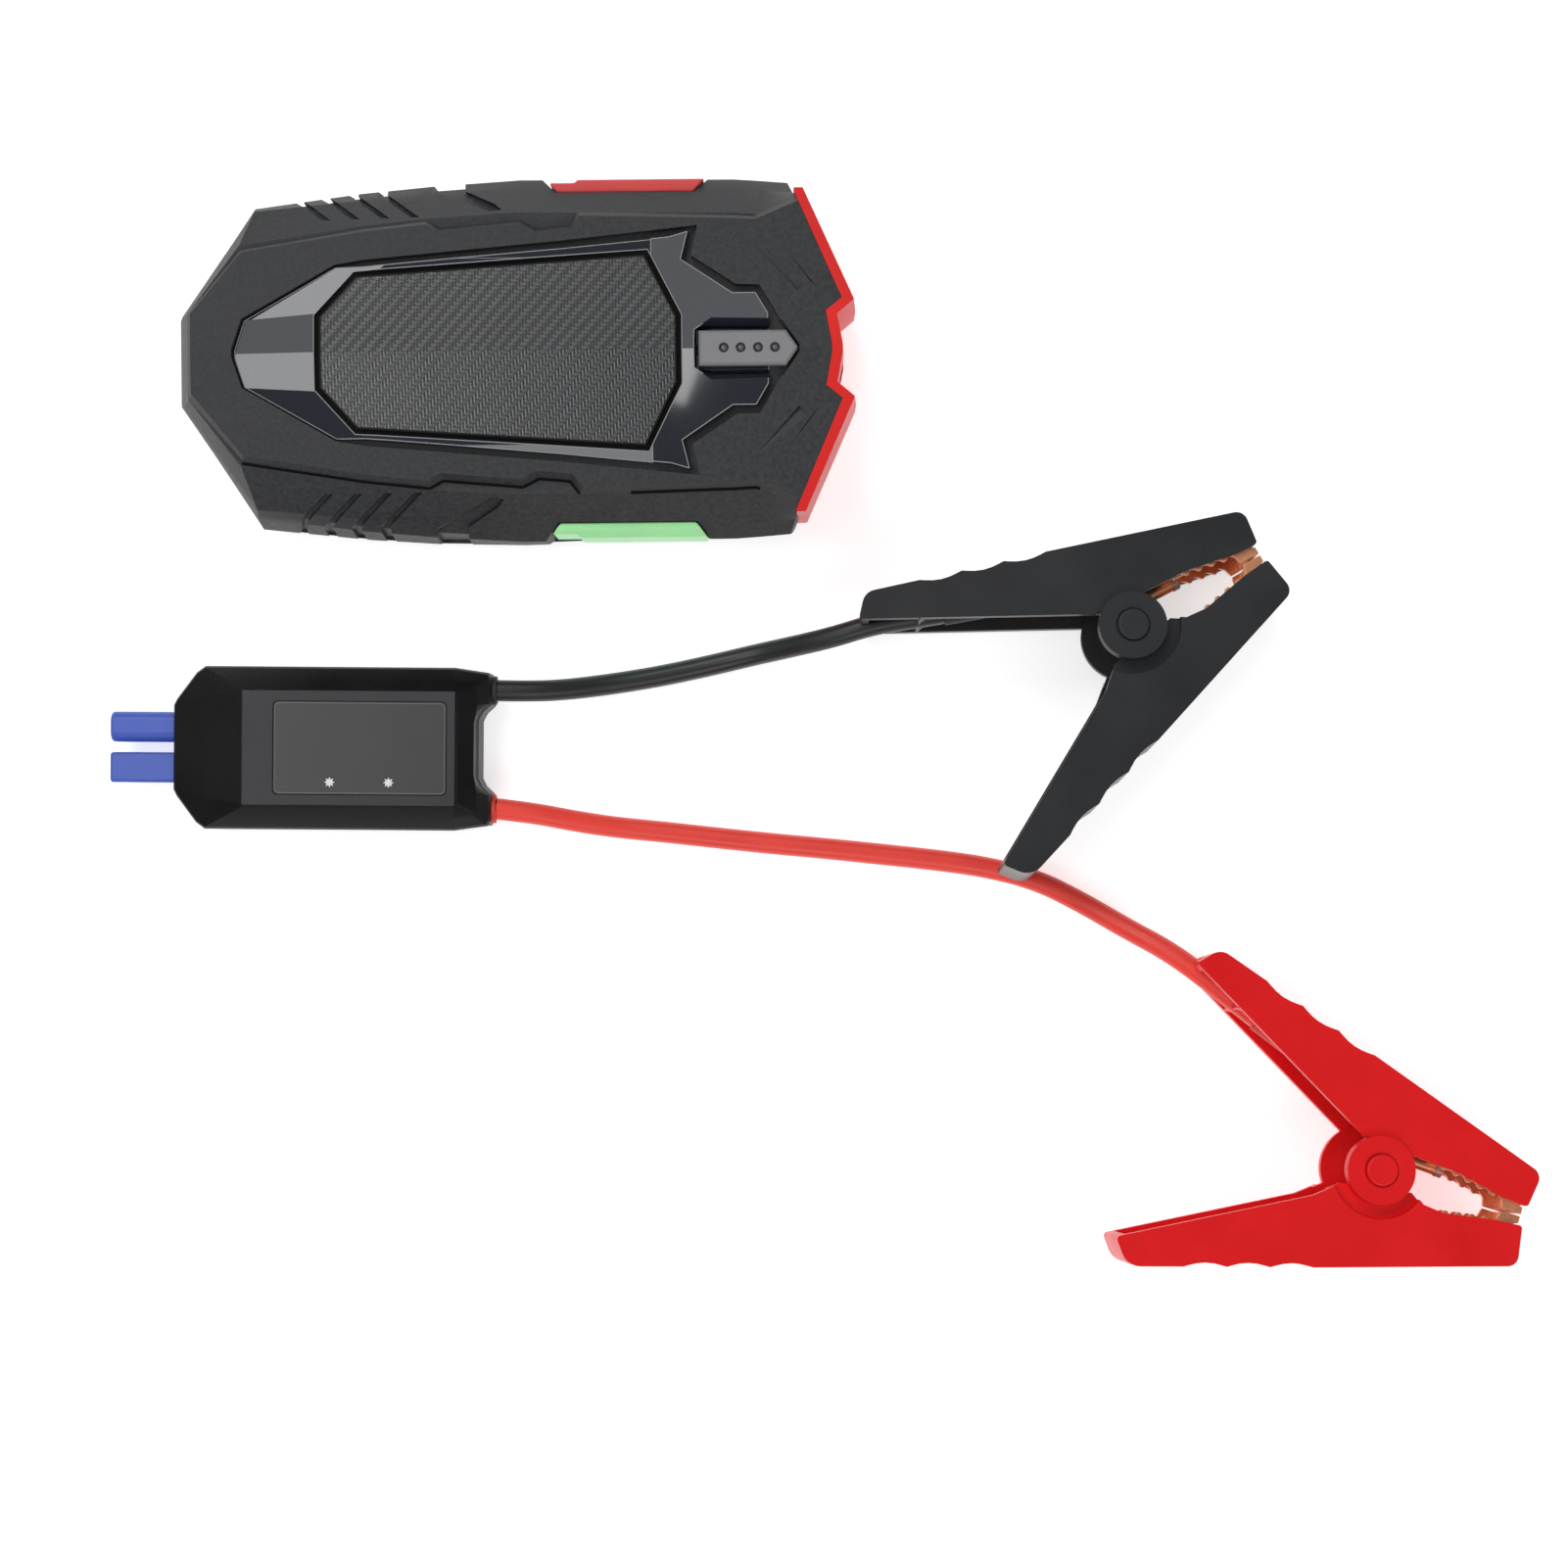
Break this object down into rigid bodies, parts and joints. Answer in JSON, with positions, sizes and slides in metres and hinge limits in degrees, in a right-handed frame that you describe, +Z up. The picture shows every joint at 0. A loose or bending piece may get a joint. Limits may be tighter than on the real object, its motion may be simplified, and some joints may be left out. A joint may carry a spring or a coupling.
{
  "type": "jump starter pack",
  "caption": "Portable jump starter pack with a carbon-look top, red bumper, side covers and power button, and its plug-in lead box with two cables and battery clamps.",
  "frame": {"origin": "centre of the pack's foot plane", "axes": "+X towards the pack's torch end, +Y towards the red cover, +Z up"},
  "size_m": [0.3539, 0.2731, 0.0373],
  "materials": {
    "shell_black": "fine moulded texture",
    "gloss_black": "high gloss",
    "carbon_film": "woven carbon-look film under satin lacquer",
    "bumper_red": "satin",
    "cover_red": "silicone",
    "cover_green": "silicone",
    "button_grey": "satin",
    "light_window": "smoked light pipe",
    "lens_clear": "clear moulded lens",
    "reflector_chrome": "bright",
    "board_green": "solder mask",
    "socket_steel": "plated",
    "tongue_black": "moulded",
    "cell_pouch": "foil pouch",
    "foam_grey": "closed-cell foam",
    "copper": "bare copper",
    "screw_steel": "zinc plated",
    "foot_rubber": "anti-slip pad",
    "plug_blue": "glass-filled nylon",
    "box_black": "fine moulded texture",
    "panel_grey": "satin",
    "label_grey": "printed film",
    "indicator_white": "translucent white",
    "relay_black": "moulded",
    "gland_black": "grommet",
    "gland_red": "grommet",
    "cable_black": "silicone insulation",
    "cable_red": "silicone insulation",
    "clamp_black": "satin moulded",
    "clamp_red": "satin moulded",
    "sleeve_clear": "clear shrink sleeve",
    "spring_steel": "plated spring wire"
  },
  "bodies": {
    "pack": {"top_shell": "shell_black", "bottom_shell": "shell_black", "end_bumper": "bumper_red", "gloss_frame": "gloss_black", "carbon_plate": "carbon_film", "main_board": "board_green", "tact_switch": "socket_steel", "led_chips": "indicator_white", "battery_cells": "cell_pouch", "battery_tray": "tongue_black", "foam_pads": "foam_grey", "bus_bars": "copper", "jump_socket": "plug_blue", "jump_contacts": "copper", "port_plate": "shell_black", "usb_sockets": "socket_steel", "usb_tongues": "tongue_black", "port_board": "board_green", "torch_lens": "lens_clear", "torch_reflector": "reflector_chrome", "torch_board": "board_green", "case_screws": "screw_steel", "rubber_feet": "foot_rubber"},
    "button": {"power_button": "button_grey", "led_windows": "light_window"},
    "red_flap": {"red_cover": "cover_red"},
    "green_flap": {"green_cover": "cover_green"},
    "lead": {"box_top": "box_black", "box_bottom": "box_black", "box_panel": "panel_grey", "label_plate": "label_grey", "indicator_windows": "indicator_white", "box_board": "board_green", "box_relay": "relay_black", "box_screws": "screw_steel", "plug_housing": "plug_blue", "plug_contacts": "copper", "black_gland": "gland_black", "red_gland": "gland_red", "black_cable": "cable_black", "red_cable": "cable_red", "black_handle": "clamp_black", "black_fixed_jaw": "copper", "black_pin": "clamp_black", "black_spring": "spring_steel", "black_lug": "socket_steel", "black_jumper": "copper", "black_sleeve": "sleeve_clear", "red_handle": "clamp_red", "red_fixed_jaw": "copper", "red_pin": "clamp_red", "red_spring": "spring_steel", "red_lug": "socket_steel", "red_jumper": "copper", "red_sleeve": "sleeve_clear"},
    "black_clamp_lever": {"black_lever": "clamp_black", "black_moving_jaw": "copper"},
    "red_clamp_lever": {"red_lever": "clamp_red", "red_moving_jaw": "copper"}
  },
  "joints": [
    {"name": "button_press", "type": "slide", "parent": "pack", "child": "button", "axis": [0, 0, -1], "range_m": [0, 0.0006], "stiffness_N_per_m": 2500},
    {"name": "red_cover_hinge", "type": "hinge", "parent": "pack", "child": "red_flap", "pos_m": [0.0468, 0.0443, 0.0151], "axis": [0, 0, -1], "range_deg": [0, 110]},
    {"name": "green_cover_hinge", "type": "hinge", "parent": "pack", "child": "green_flap", "pos_m": [0.0468, -0.0443, 0.0151], "axis": [0, 0, 1], "range_deg": [0, 110]},
    {"name": "lead_place", "type": "slide", "parent": "pack", "child": "lead", "axis": [0, 0, 1], "range_m": [0, 0.08]},
    {"name": "black_clamp_squeeze", "type": "hinge", "parent": "lead", "child": "black_clamp_lever", "pos_m": [0.1512, -0.06886, 0.01436], "axis": [0, -0.1219, -0.9925], "range_deg": [0, 40], "stiffness_Nm_per_rad": 1.2, "deforming": ["black_spring"]},
    {"name": "red_clamp_squeeze", "type": "hinge", "parent": "lead", "child": "red_clamp_lever", "pos_m": [0.21007, -0.20322, 0.0159], "axis": [-0.0389, -0.1192, -0.9921], "range_deg": [0, 40], "stiffness_Nm_per_rad": 1.2, "deforming": ["red_spring"]}
  ]
}
